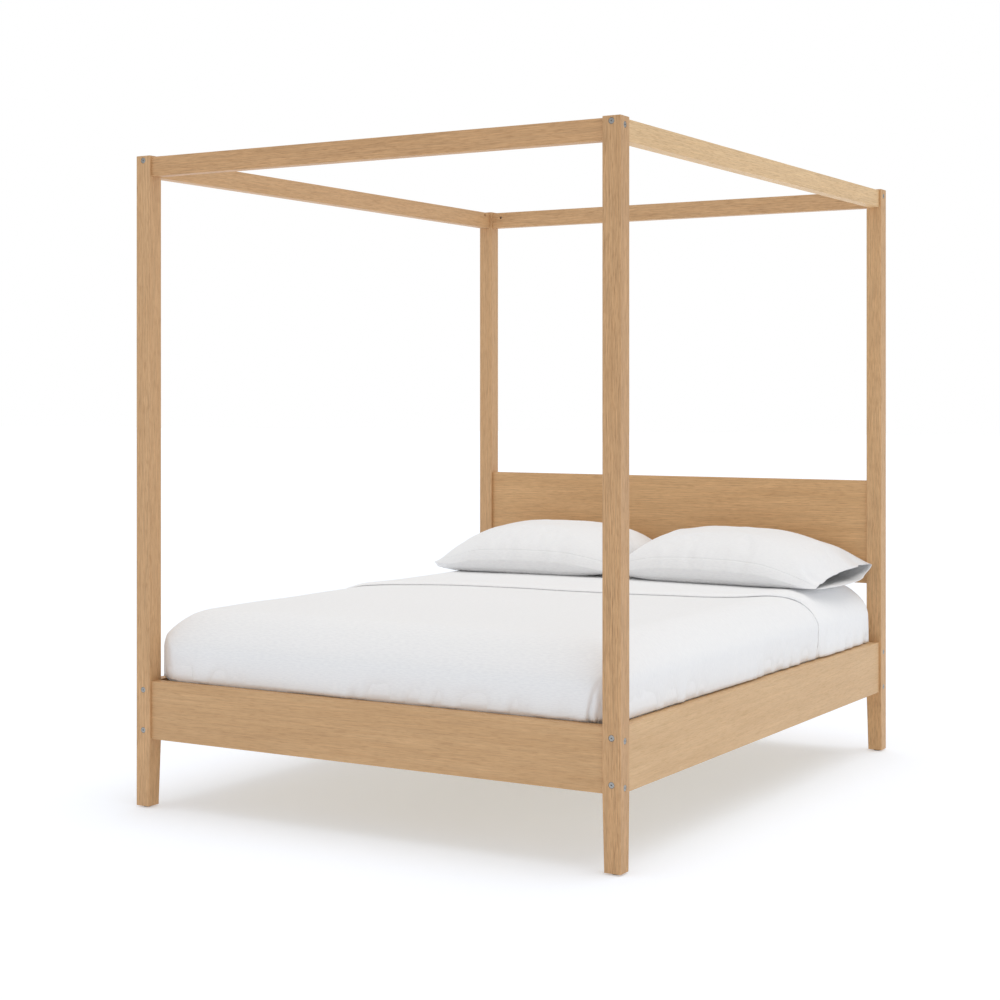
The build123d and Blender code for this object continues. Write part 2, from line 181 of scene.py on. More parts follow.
# ---- Finishes ----
class Grain(Enum):
    """The way a timber's grain runs, as the turn that brings it onto X."""

    ALONG_X = (0.0, 0.0, 0.0)
    ALONG_Y = (0.0, 0.0, -math.pi / 2)
    ALONG_Z = (0.0, math.pi / 2, 0.0)


@dataclass(frozen=True)
class SawnTimber:
    """Solid timber as a sawmill cuts it: growth rings round a pith that lies outside the board.

    The rings meet a board's face at a shallow angle and draw long arches; open pores show as
    short dark dashes along the grain, and the end grain shows the rings as arcs. Real pores are
    0.3 mm wide: they are drawn 1.3 mm wide, and gather in streaks about 3 mm wide. The tilt is in
    degrees, between the board and the log's axis, and sets how long the arches are.
    """

    name: str
    light: str
    middle: str
    dark: str
    pore: str
    roughness: float
    ring_mm: float = 5.5
    ring_contrast: float = 0.62
    tilt: float = 0.5
    pore_contrast: float = 0.34
    pore_mm: float = 1.3
    pore_run_mm: float = 34.0
    streak_mm: float = 3.2
    streak_run_mm: float = 120.0
    streak_contrast: float = 0.12
    lacquer: float = 0.0
    pith_depth: float = 0.095
    wander_per_m: tuple[float, float, float] = (1.1, 5.0, 5.0)
    wander_by: float = 0.019
    mottle_per_m: tuple[float, float, float] = (2.2, 26.0, 26.0)
    ring_stretch: float = 0.05

    def material(
        self, piece: str, grain: Grain, seed: float, tone: Tone = (1.0, 1.0, 1.0), figure: float = 1.0,
    ) -> bpy.types.Material:
        """Make the finish for one piece of timber.

        Args:
            piece: name of the piece, for the material's name.
            grain: the way the grain runs.
            seed: moves the piece to another part of the log.
            tone: how this plank's red, green and blue differ from the usual.
            figure: how strongly this plank's rings, streaks and pores show, 1 being the usual.

        Returns:
            The material.
        """
        material, tree, shader = new_material(f"{self.name}.{piece}")
        place = add_node(tree, "TexCoord").outputs["Object"]
        along = add_node(tree, "Mapping", {"Vector": place, "Rotation": grain.value}).outputs["Vector"]
        pith = (seed * 1.7, 0.045 * math.sin(seed * 5.1), -self.pith_depth - 0.03 * math.cos(seed * 3.3))
        turn = (0.0, math.radians(self.tilt), math.radians(0.6 * math.sin(seed * 2.3)))
        log_place = add_node(
            tree, "Mapping", {"Vector": along, "Location": pith, "Rotation": turn}).outputs["Vector"]
        drift = add_node(
            tree, "TexNoise",
            {"Vector": stretch(tree, log_place, self.wander_per_m), "Scale": 1.0, "Detail": 2.5,
             "Roughness": 0.45})
        centred = add_node(
            tree, "VectorMath", {0: drift.outputs["Color"], 1: (0.5, 0.5, 0.5)}, operation="SUBTRACT")
        bent = add_node(
            tree, "VectorMath",
            {0: centred.outputs[0], 1: (0.0, self.wander_by, self.wander_by), 2: log_place},
            operation="MULTIPLY_ADD").outputs[0]
        rings = add_node(
            tree, "TexWave",
            {"Vector": stretch(tree, bent, (self.ring_stretch, 1.0, 1.0)), "Scale": wave_scale(self.ring_mm),
             "Distortion": 3.0, "Detail": 2.0, "Detail Scale": 1.1},
            wave_type="RINGS", rings_direction="X", wave_profile="SAW").outputs["Fac"]
        band = ramp(tree, rings, ((0.0, 0.30), (0.10, 0.85), (0.55, 1.0), (0.88, 0.72), (1.0, 0.30)))
        mottle = mottling(tree, stretch(tree, log_place, self.mottle_per_m), 1.0, 4.0, 0.6)
        pores = mottling(tree, self.streaks(tree, bent, self.pore_run_mm, self.pore_mm), 1.0, 2.0, 0.55)
        pore_mask = ramp(tree, pores, ((0.36, 0.0), (0.50, 1.0)))
        fibre = mottling(tree, self.streaks(tree, bent, self.streak_run_mm, self.streak_mm), 1.0, 3.0, 0.6)

        shade = ramp(tree, mottle, ((0.30, self.middle), (0.68, self.light)))
        bold = self.ring_contrast * figure
        ringed = blend(
            tree, spread(tree, mottle, (0.2 * bold, bold), 0.38, 0.62), shade,
            blend(tree, band, colour(self.dark), shade))
        pore_share = spread(tree, pore_mask, (self.pore_contrast * figure, 0.0))
        pored = blend(tree, pore_share, ringed, colour(self.pore))
        # The plank's tone scales its colour; on the right canopy and side rails this is a painted sheen.
        plank = blend(tree, 1.0, pored, (*tone, 1.0), "MULTIPLY")
        uneven = self.streak_contrast * figure
        relief = add_node(tree, "Math", {0: pore_mask, 1: 0.7, 2: rings}, operation="MULTIPLY_ADD")
        feed(tree, shader, {
            "Base Color": blend(
                tree, 1.0, plank, spread(tree, fibre, (1 - uneven, 1 + uneven), 0.3, 0.7), "MULTIPLY"),
            "Roughness": spread(tree, pore_mask, (self.roughness + 0.15, self.roughness)),
            "Normal": bump(tree, relief.outputs[0], 0.18, 0.35 * MM),
            "Coat Weight": self.lacquer, "Coat Roughness": 0.45})
        return material

    def streaks(self, tree: Tree, place: Socket, run_mm: float, wide_mm: float) -> Socket:
        """Coordinates in which streaks of this length and width along the grain are round."""
        return stretch(tree, place, (1000 / run_mm, 1000 / wide_mm, 1000 / wide_mm))


# Pale European oak, planed, sanded and finished with a matt water-based lacquer: warm honey wood
# with open dark pores and quiet arches.
OAK = SawnTimber("oak_matt_lacquer", "d4ab7d", "c89e70", "b68859", "91653b", 0.52, lacquer=0.08)
# Spruce battens for the base: planed, not lacquered, so paler, drier and with wider rings.
BATTEN = SawnTimber("spruce_planed", "e4cda3", "d9bd8e", "c39c66", "b48a56", 0.72, ring_mm=6.0,
                    pore_contrast=0.12)
# Pine slats, planed: pale yellow wood with strong even rings and no pores.
SLAT = SawnTimber("pine_planed", "ead6ae", "e0c696", "c79f63", "c2995f", 0.70, ring_mm=7.0,
                  ring_contrast=0.7, pore_contrast=0.08)
# Beech dowels: pink-brown, close grained.
BEECH = SawnTimber("beech_fluted", "dcb893", "d0a67d", "bd8f66", "a87a52", 0.68, ring_mm=3.0,
                   ring_contrast=0.35, pore_mm=1.2, pore_run_mm=6.0)


@dataclass(frozen=True)
class Metal:
    """A metal part as it comes from its coating bath or machine."""

    name: str
    shade: str
    dull: str
    roughness: float
    grain_mm: float

    def material(self) -> bpy.types.Material:
        """Make the metal, with the small change of tone and gloss that its surface has."""
        material, tree, shader = new_material(self.name)
        place = add_node(tree, "TexCoord").outputs["Object"]
        cloud = mottling(tree, place, 1 / (self.grain_mm * MM), 4.0)
        feed(tree, shader, {
            "Base Color": ramp(tree, cloud, ((0.35, self.dull), (0.65, self.shade))),
            "Roughness": spread(tree, cloud, (self.roughness + 0.12, self.roughness - 0.05)),
            "Normal": bump(tree, cloud, 0.1, 0.05 * MM), "Metallic": 1.0})
        return material


# Nickel-plated steel bolts: grey and softly bright, mottled a little duller at random.
NICKEL = Metal("nickel_plated_steel", "b4b3b0", "8e8d8a", 0.34, 3.0)
# Zinc and yellow passivated screws: straw-coloured and satin.
PASSIVATED = Metal("yellow_passivated_screw", "c8b070", "a79365", 0.38, 2.0)
# Galvanised pressed steel: blue-grey with the spangle of its zinc, drawn at its real 8 mm.
GALVANISED = Metal("galvanised_pressing", "b9bfc3", "989fa4", 0.46, 8.0)
# Turned brass insert.
BRASS = Metal("turned_brass", "cfae62", "b08f48", 0.32, 2.0)


@dataclass(frozen=True)
class MouldedPlastic:
    """An injection moulded part: even colour, fine spark-eroded texture, low sheen."""

    name: str
    shade: str
    worn: str
    roughness: float
    texture_mm: float = 0.8

    def material(self) -> bpy.types.Material:
        """Make the plastic, with the faint scuffs that a foot gets from a floor."""
        material, tree, shader = new_material(self.name)
        place = add_node(tree, "TexCoord").outputs["Object"]
        scuff = mottling(tree, place, 140.0, 5.0)
        texture = mottling(tree, place, 1 / (self.texture_mm * MM), 1.0)
        feed(tree, shader, {
            "Base Color": ramp(tree, scuff, ((0.45, self.shade), (0.75, self.worn))),
            "Normal": bump(tree, texture, 0.25, 0.05 * MM), "Roughness": self.roughness})
        return material


# Black polyethylene glide: waxy and slightly grey where it rubs.
GLIDE = MouldedPlastic("polyethylene_glide", "1d1b19", "35322f", 0.55)


@dataclass(frozen=True)
class WovenCotton:
    """Washed white cotton: a plain weave with slubs, soft sheen and no gloss.

    The weave follows the piece's own cloth coordinates, which are metres along its warp and weft.
    Its threads are 0.3 mm apart; they are drawn 1.4 mm apart, the finest that shows.
    """

    name: str
    shade: str
    slub: str
    roughness: float = 0.86
    thread_mm: float = 1.4
    relief: float = 0.14
    puff_mm: float = 34.0
    puff: float = 0.0
    stitches: tuple[float, ...] = ()
    furrow_wide: float = 0.004

    def material(self) -> bpy.types.Material:
        """Make the cloth from its UV map, which holds metres of cloth."""
        material, tree, shader = new_material(self.name)
        cloth = add_node(tree, "UVMap", uv_map="cloth").outputs["UV"]
        waves = [
            add_node(
                tree, "TexWave",
                {"Vector": cloth, "Scale": wave_scale(self.thread_mm), "Distortion": 0.6, "Detail": 1.0,
                 "Detail Scale": 0.6},
                wave_type="BANDS", bands_direction=direction, wave_profile="SIN").outputs["Fac"]
            for direction in ("X", "Y")]
        weave = add_node(tree, "Math", {0: waves[0], 1: waves[1]}, operation="MULTIPLY").outputs[0]
        slubs = mottling(tree, stretch(tree, cloth, (60.0, 420.0, 1.0)), 1.0, 3.0)
        soft = mottling(tree, cloth, 1 / (self.puff_mm * MM), 3.0, 0.45)
        threads = add_node(
            tree, "Math", {0: slubs, 1: 0.25, 2: weave}, operation="MULTIPLY_ADD").outputs[0]
        fine = bump(tree, threads, self.relief, 0.12 * MM)
        normal = bump(tree, soft, 0.30 + self.puff, 1.2 * MM, fine)
        for line in self.stitches:
            normal = self.stitch(tree, cloth, line, normal)
        feed(tree, shader, {
            "Base Color": ramp(tree, slubs, ((0.35, self.slub), (0.62, self.shade))), "Normal": normal,
            "Roughness": self.roughness, "Sheen Weight": 0.25, "Sheen Roughness": 0.5,
            "Specular IOR Level": 0.25})
        return material

    def stitch(self, tree: Tree, cloth: Socket, line: float, normal: Socket) -> Socket:
        """Draw the furrow of a row of stitches that runs across the cloth.

        Args:
            tree: the material's node tree.
            cloth: the cloth coordinates.
            line: the row's place along the cloth, the same distance either side of its middle.
            normal: the surface's direction so far.

        Returns:
            The surface's direction with the furrow in it.
        """
        along = add_node(tree, "SeparateXYZ", {0: cloth}).outputs["Y"]
        either = add_node(tree, "Math", {0: along}, operation="ABSOLUTE").outputs[0]
        off = add_node(tree, "Math", {0: either, 1: line}, operation="SUBTRACT").outputs[0]
        away = add_node(tree, "Math", {0: off}, operation="ABSOLUTE").outputs[0]
        furrow = spread(tree, away, (0.0, 1.0), stop=self.furrow_wide, interpolation_type="SMOOTHSTEP")
        return bump(tree, furrow, 0.7, 1.6 * MM, normal)


# Cotton percale for the fitted and top sheets: crisp, flat and cool white.
PERCALE = WovenCotton("cotton_percale", "f3f3f3", "eeeeef")
# Washed cotton sateen for the coverlet: softer and very slightly greyer.
SATEEN = WovenCotton("washed_cotton_cover", "f1f1f1", "ebebec", puff_mm=55.0, puff=0.1)
# Pillowcase percale, with the furrow of the stitching that runs beside its front and back edges.
CASE = WovenCotton("pillowcase_percale", "f1f1f1", "ececed", puff_mm=40.0, puff=0.05,
                   stitches=(0.257,))
# Knitted mattress ticking: warm white.
TICKING = WovenCotton("knitted_ticking", "e9e7e2", "dcdad4", thread_mm=2.2, relief=0.5, puff_mm=18.0,
                      puff=0.3)


# ---- Mesh helpers ----
def link_piece(name: str, mesh: bpy.types.Mesh, materials: Iterable[bpy.types.Material]) -> Piece:
    """Link a mesh as a piece at the origin, with its materials and smooth faces."""
    for material in materials:
        mesh.materials.append(material)
    mesh.shade_smooth()
    piece = bpy.data.objects.new(name, mesh)
    bpy.context.scene.collection.objects.link(piece)
    return piece


def mesh_from(bm: bmesh.types.BMesh, name: str) -> bpy.types.Mesh:
    """Turn a bmesh into a mesh and free it."""
    mesh = bpy.data.meshes.new(name)
    bm.to_mesh(mesh)
    bm.free()
    return mesh


def cloth_grid(across: tuple[float, float], along: tuple[float, float], cell: float) -> bmesh.types.BMesh:
    """A flat piece of cloth whose UV map holds its own metres across and along.

    Args:
        across: lowest and highest place across the cloth.
        along: lowest and highest place along it.
        cell: size of a face.

    Returns:
        The cloth, flat, at height zero.
    """
    width, length = across[1] - across[0], along[1] - along[0]
    bm = bmesh.new()
    bmesh.ops.create_grid(
        bm, x_segments=max(2, round(width / cell)), y_segments=max(2, round(length / cell)), size=0.5)
    bmesh.ops.scale(bm, vec=(width, length, 1.0), verts=bm.verts)
    middle = ((across[0] + across[1]) / 2, (along[0] + along[1]) / 2, 0.0)
    bmesh.ops.translate(bm, vec=middle, verts=bm.verts)
    layer = bm.loops.layers.uv.new("cloth")
    for face in bm.faces:
        for loop in face.loops:
            loop[layer].uv = loop.vert.co.xy
    return bm


def smooth_step(low: float, high: float, value: float) -> float:
    """0 below low, 1 above high, and an even S between them."""
    share = min(1.0, max(0.0, (value - low) / (high - low)))
    return share * share * (3 - 2 * share)


def ripple(x: float, y: float, seed: float) -> float:
    """Smooth noise from -1 to 1 over a plane."""
    return noise.noise(Vector((x, y, seed)))


def add_modifier(piece: Piece, kind: str, **settings) -> bpy.types.Modifier:
    """Add a modifier with its settings."""
    modifier = piece.modifiers.new(kind.lower(), kind)
    for key, value in settings.items():
        setattr(modifier, key, value)
    return modifier


def bake_modifiers(piece: Piece) -> None:
    """Replace a piece's mesh by what its modifiers make of it."""
    graph = bpy.context.evaluated_depsgraph_get()
    made = bpy.data.meshes.new_from_object(piece.evaluated_get(graph))
    piece.modifiers.clear()
    old = piece.data
    piece.data = made
    bpy.data.meshes.remove(old)


# ---- The timber frame ----
@dataclass
class TimberFrame:
    """Posts, rails and headboard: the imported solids, each dressed as its own cut of oak."""

    nodes: dict[str, Piece]
    ends: tuple[str, ...] = ("foot", "head")
    sides: tuple[str, ...] = ("left", "right")
    # Per-plank colour scales. The right canopy rail and the right side rail are made paler and whiter: a
    # painted sheen, standing in for the grazing light that their outer faces catch. The other planks are
    # made a little paler or deeper, plank by plank.
    tones_and_painted_sheen: dict[str, Tone] = field(default_factory=lambda: {
        "canopy_rail_right": (1.22, 1.38, 1.50), "side_rail_right": (1.055, 1.135, 1.19),
        "canopy_rail_foot": (0.955, 0.925, 0.89), "foot_rail": (0.965, 0.97, 0.955),
        "headboard_panel": (1.07, 1.065, 1.01),
        "post_foot_right": (0.955, 0.94, 0.92), "post_head_right": (1.03, 1.04, 1.03),
    })
    # Planks whose figure is quieter or bolder than the rest.
    figures: dict[str, float] = field(default_factory=lambda: {
        "side_rail_right": 0.5, "foot_rail": 0.75, "canopy_rail_foot": 1.2, "post_foot_right": 1.35,
        "post_foot_left": 1.2, "post_head_right": 1.3, "canopy_rail_head": 1.3, "headboard_panel": 0.95,
    })

    def dress(self) -> None:
        """Give every timber its grain direction, its tone (a painted sheen on the right canopy and side
        rails) and its own part of the log.
        """
        plan: list[tuple[str, Grain]] = []
        for end in self.ends:
            plan += [(f"post_{end}_{side}", Grain.ALONG_Z) for side in self.sides]
            plan += [(f"{end}_rail", Grain.ALONG_X), (f"canopy_rail_{end}", Grain.ALONG_X)]
        for side in self.sides:
            plan += [(f"side_rail_{side}", Grain.ALONG_Y), (f"canopy_rail_{side}", Grain.ALONG_Y)]
        plan.append(("headboard_panel", Grain.ALONG_X))
        for number, (node, grain) in enumerate(plan):
            tone = self.tones_and_painted_sheen.get(node, (1.0, 1.0, 1.0))
            figure = self.figures.get(node, 1.0)
            finish = OAK.material(node, grain, 1.0 + 0.77 * number, tone, figure=figure)
            dress_node(self.nodes[node], finish)
        log.info("oak frame: %d timbers", len(plan))


def dress_node(node: Piece, material: bpy.types.Material) -> None:
    """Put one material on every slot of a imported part."""
    for holder in node.material_slots:
        holder.material = material


@dataclass
class MattressBase:
    """Slats, ledgers, beam, centre leg and headboard cleats."""

    nodes: dict[str, Piece]

    def dress(self) -> None:
        """Dress the base's timber, each slat from its own part of the plank."""
        slats = sorted(name for name in self.nodes if name.startswith("slat_") and name[5:].isdigit())
        for number, name in enumerate(slats):
            dress_node(self.nodes[name], SLAT.material(name, Grain.ALONG_X, 20.0 + 0.61 * number))
        battens = (
            ("slat_ledger_left", Grain.ALONG_Y), ("slat_ledger_right", Grain.ALONG_Y),
            ("centre_beam", Grain.ALONG_Y), ("centre_leg", Grain.ALONG_Z),
            ("headboard_cleat_left", Grain.ALONG_Z), ("headboard_cleat_right", Grain.ALONG_Z),
        )
        for number, (name, grain) in enumerate(battens):
            dress_node(self.nodes[name], BATTEN.material(name, grain, 40.0 + 0.83 * number))
        log.info("mattress base: %d slats and %d battens", len(slats), len(battens))


@dataclass
class Fittings:
    """Bolts, nuts, screws, stirrups, glides and dowels."""

    nodes: dict[str, Piece]

    def dress(self) -> None:
        """Dress each kind of fitting in its own metal or plastic."""
        groups = (
            (NICKEL, ("bed_bolts", "canopy_bolts", "bed_barrel_nuts", "canopy_barrel_nuts",
                      "centre_leg_hanger_bolt")),
            (PASSIVATED, ("headboard_screws", "ledger_screws", "slat_screws", "hanger_screws")),
            (GALVANISED, ("beam_hanger_foot", "beam_hanger_head")),
            (BRASS, ("centre_leg_insert",)),
            (GLIDE, ("glide_foot_left", "glide_foot_right", "glide_head_left", "glide_head_right",
                     "centre_leg_foot")),
        )
        for finish, names in groups:
            material = finish.material()
            for name in names:
                dress_node(self.nodes[name], material)
            log.info("%s: %d fittings", finish.name, len(names))
        dress_node(self.nodes["rail_dowels"], BEECH.material("rail_dowels", Grain.ALONG_X, 60.0))


# ---- Bedding ----
@dataclass
class Shoulder:
    """The soft edge of the mattress's top: its reach inwards, its drop, and the swell below it.

    The last share of the swell is what is left of it where the cloth meets the rail.
    """

    reach: float
    drop: float
    bulge: float
    kept: float


@dataclass
class MattressForm:
    """The made-up mattress's outer form, which every sheet over it follows.

    A place on a sheet is given in metres of flat cloth, across and along the bed. Beyond the edge
    of the top it runs over a soft shoulder and down the side, which swells out over the rails and
    draws in again to the tuck. At a corner the spare square of cloth is eased round.
    """

    low: Vector
    high: Vector
    rail_top: float
    corner: float = 0.062
    crown: float = 0.006
    side: Shoulder = field(default_factory=lambda: Shoulder(0.110, 0.095, 0.031, 1.0))
    foot: Shoulder = field(default_factory=lambda: Shoulder(0.120, 0.130, 0.022, 1.0))
    head: Shoulder = field(default_factory=lambda: Shoulder(0.090, 0.085, 0.008, 0.5))
    squareness: float = 6.0

    @property
    def half(self) -> tuple[float, float]:
        """Half of the width and of the length."""
        return (self.high.x - self.low.x) / 2, (self.high.y - self.low.y) / 2

    @property
    def spine(self) -> tuple[float, float]:
        """Half sizes of the plan inside its round corners."""
        return self.half[0] - self.corner, self.half[1] - self.corner

    @property
    def over(self) -> float:
        """Length of cloth that the round of a corner takes."""
        return self.corner * math.pi / 2

    def reach(self, height: float, shoulder: Shoulder | None = None) -> float:
        """Cloth from the plan's spine over a shoulder, the side's if none is named, down to a height."""
        return self.over + self.high.z - (shoulder or self.side).drop - height

    def plan(self, across: float, along: float) -> tuple[Vector, Vector, float]:
        """Where a point of cloth lands in plan.

        Args:
            across: metres of cloth from the bed's middle line.
            along: metres of cloth from the bed's middle, towards the head.

        Returns:
            The place and the outward direction, both in the quarter with positive x and y, and the
            length of cloth past the shoulder.
        """
        past = Vector((abs(across) - self.spine[0], abs(along) - self.spine[1]))
        run = max(past.x, past.y, 0.0)
        if run == 0.0:
            return Vector((abs(across), abs(along))), Vector((0.0, 0.0)), 0.0
        out = self.corner * math.sin(min(run, self.over) / self.corner)
        if past.y <= 0:
            outward, foot = Vector((1.0, 0.0)), Vector((self.spine[0], abs(along)))
        elif past.x <= 0:
            outward, foot = Vector((0.0, 1.0)), Vector((abs(across), self.spine[1]))
        else:
            share = past.y / past.x if past.x >= past.y else 2 - past.x / past.y
            outward = Vector((math.cos(share * math.pi / 4), math.sin(share * math.pi / 4)))
            foot = Vector(self.spine)
        return foot + out * outward, outward, max(0.0, run - self.over)

    def place(self, across: float, along: float, lift: float) -> Vector:
        """The place of a point of cloth on the bed.

        Args:
            across: metres of cloth from the bed's middle line.
            along: metres of cloth from the bed's middle, towards the head.
            lift: how far the cloth stands off the mattress.

        Returns:
            The point in the bed's frame.
        """
        place, outward, hang = self.plan(across, along)
        end = self.foot if along < 0 else self.head
        toward_side = max(0.0, 1 - (self.half[0] - place.x) / self.side.reach) ** self.squareness
        toward_end = max(0.0, 1 - (self.half[1] - place.y) / end.reach) ** self.squareness
        weight = max(toward_side + toward_end, 1e-12)
        drop = (self.side.drop * toward_side + end.drop * toward_end) / weight
        turn = min(1.0, weight ** (1 / self.squareness))
        rise = math.sqrt(1 - turn * turn)
        spine_x, spine_y = self.spine
        dome = (1 - min(1, abs(across) / spine_x) ** 2) * (1 - min(1, abs(along) / spine_y) ** 4)
        height = self.high.z + self.crown * dome + lift * rise - drop * (1 - rise) - hang
        full = smooth_step(self.rail_top, self.rail_top + 0.085, height)
        swell = self.side.bulge * outward.x ** 2 * (self.side.kept + (1 - self.side.kept) * full)
        swell += end.bulge * outward.y ** 2 * (end.kept + (1 - end.kept) * full)
        belly = smooth_step(self.rail_top - 0.002, self.rail_top + 0.006, height)
        belly *= 1 - smooth_step(self.high.z - 0.11, self.high.z - 0.01, height)
        flat = place + outward * (lift * turn + swell * belly)
        return Vector((math.copysign(flat.x, across), math.copysign(flat.y, along), height))


@dataclass
class BedSheet:
    """A sheet laid over the mattress and tucked down inside the rails."""

    name: str
    node: str
    form: MattressForm
    finish: WovenCotton
    head_edge: Callable[[float], float]
    foot_edge: Callable[[float], float]
    lift: Callable[[float, float], float]
    tuck: float
    thickness: float
    held: str
    rests_on: tuple[str, ...]
    slot: str
    cell: float = 0.0115
    crowd: float = 0.7
    edge_crowd: float = 0.14

    def build(self) -> Piece:
        """Lay the sheet, point by point, over the mattress's form."""
        half = self.form.spine[0] + self.form.reach(self.tuck)
        steps = [half * (step / 40 - 1) for step in range(81)]
        ends = [(self.foot_edge(x), self.head_edge(x)) for x in steps]
        longest = max(end[1] for end in ends) - min(end[0] for end in ends)
        bm = cloth_grid((-half, half), (0.0, longest), self.cell)
        layer = bm.loops.layers.uv.active
        for vert in bm.verts:
            out = vert.co.x / half
            across = half * out * (1 + self.edge_crowd * (1 - out * out))
            step = vert.co.y / longest
            share = step * (self.crowd + (1 - self.crowd) * step)
            foot, head = self.foot_edge(across), self.head_edge(across)
            along = foot + share * (head - foot)
            for loop in vert.link_loops:
                loop[layer].uv = (across, along)
            vert.co = self.form.place(across, along, self.lift(across, along))
        piece = link_piece(self.name, mesh_from(bm, self.name), [self.finish.material()])
        add_modifier(piece, "SOLIDIFY", thickness=self.thickness, offset=-1.0)
        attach(piece, BODY)
        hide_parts(self.node)
        return piece


@dataclass
class Mattress:
    """The mattress: a padded block in ticking, with a tape edge round the rim of its base."""

    form: MattressForm
    cell: float = 0.030
    tape: float = 0.006

    def build(self) -> Piece:
        """Lay ticking over the form, close it underneath, and run the tape round it."""
        form = self.form
        base = form.low.z + 2 * self.tape
        wide, long = (spine + form.reach(base) for spine in form.spine)
        bm = cloth_grid((-wide, wide), (-long, long), self.cell)
        bound = [vert for vert in bm.verts if vert.is_boundary]
        for vert in bm.verts:
            across, along = vert.co.x, vert.co.y
            vert.co = form.place(across, along, -0.004)
            vert.co.z = max(vert.co.z, base)
        for vert in bound:
            vert.co.z = base
        rim = [edge for edge in bm.edges if edge.is_boundary]
        skirt = bmesh.ops.extrude_edge_only(bm, edges=rim)["geom"]
        lower = [item for item in skirt if isinstance(item, bmesh.types.BMVert)]
        bmesh.ops.translate(bm, vec=(0.0, 0.0, form.low.z + 0.001 - base), verts=lower)
        bmesh.ops.scale(bm, vec=(0.99, 0.993, 1.0), verts=lower)
        bmesh.ops.edgeloop_fill(bm, edges=[edge for edge in bm.edges if edge.is_boundary])
        bmesh.ops.remove_doubles(bm, verts=bm.verts, dist=0.0004)
        bmesh.ops.recalc_face_normals(bm, faces=bm.faces)
        piece = link_piece("mattress_body", mesh_from(bm, "mattress_body"), [TICKING.material()])
        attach(piece, BODY)
        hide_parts("mattress")
        log.info("mattress: %d faces", len(piece.data.polygons))
        return piece


# The filled pillow's crest above the sheet, and its front and back seams, each by the distance in
# metres of case from its open end.
CREST = ((0.0, 0.040), (0.03, 0.062), (0.07, 0.092), (0.12, 0.122), (0.24, 0.164), (0.38, 0.178),
         (0.60, 0.179), (0.86, 0.176))
FRONT_SEAM = ((0.0, 0.003), (0.05, 0.006), (0.13, 0.026), (0.24, 0.046), (0.43, 0.054), (0.66, 0.052),
              (0.79, 0.036), (0.86, 0.022))
BACK_SEAM = ((0.0, 0.056), (0.10, 0.076), (0.24, 0.094), (0.45, 0.104), (0.72, 0.094), (0.86, 0.058))


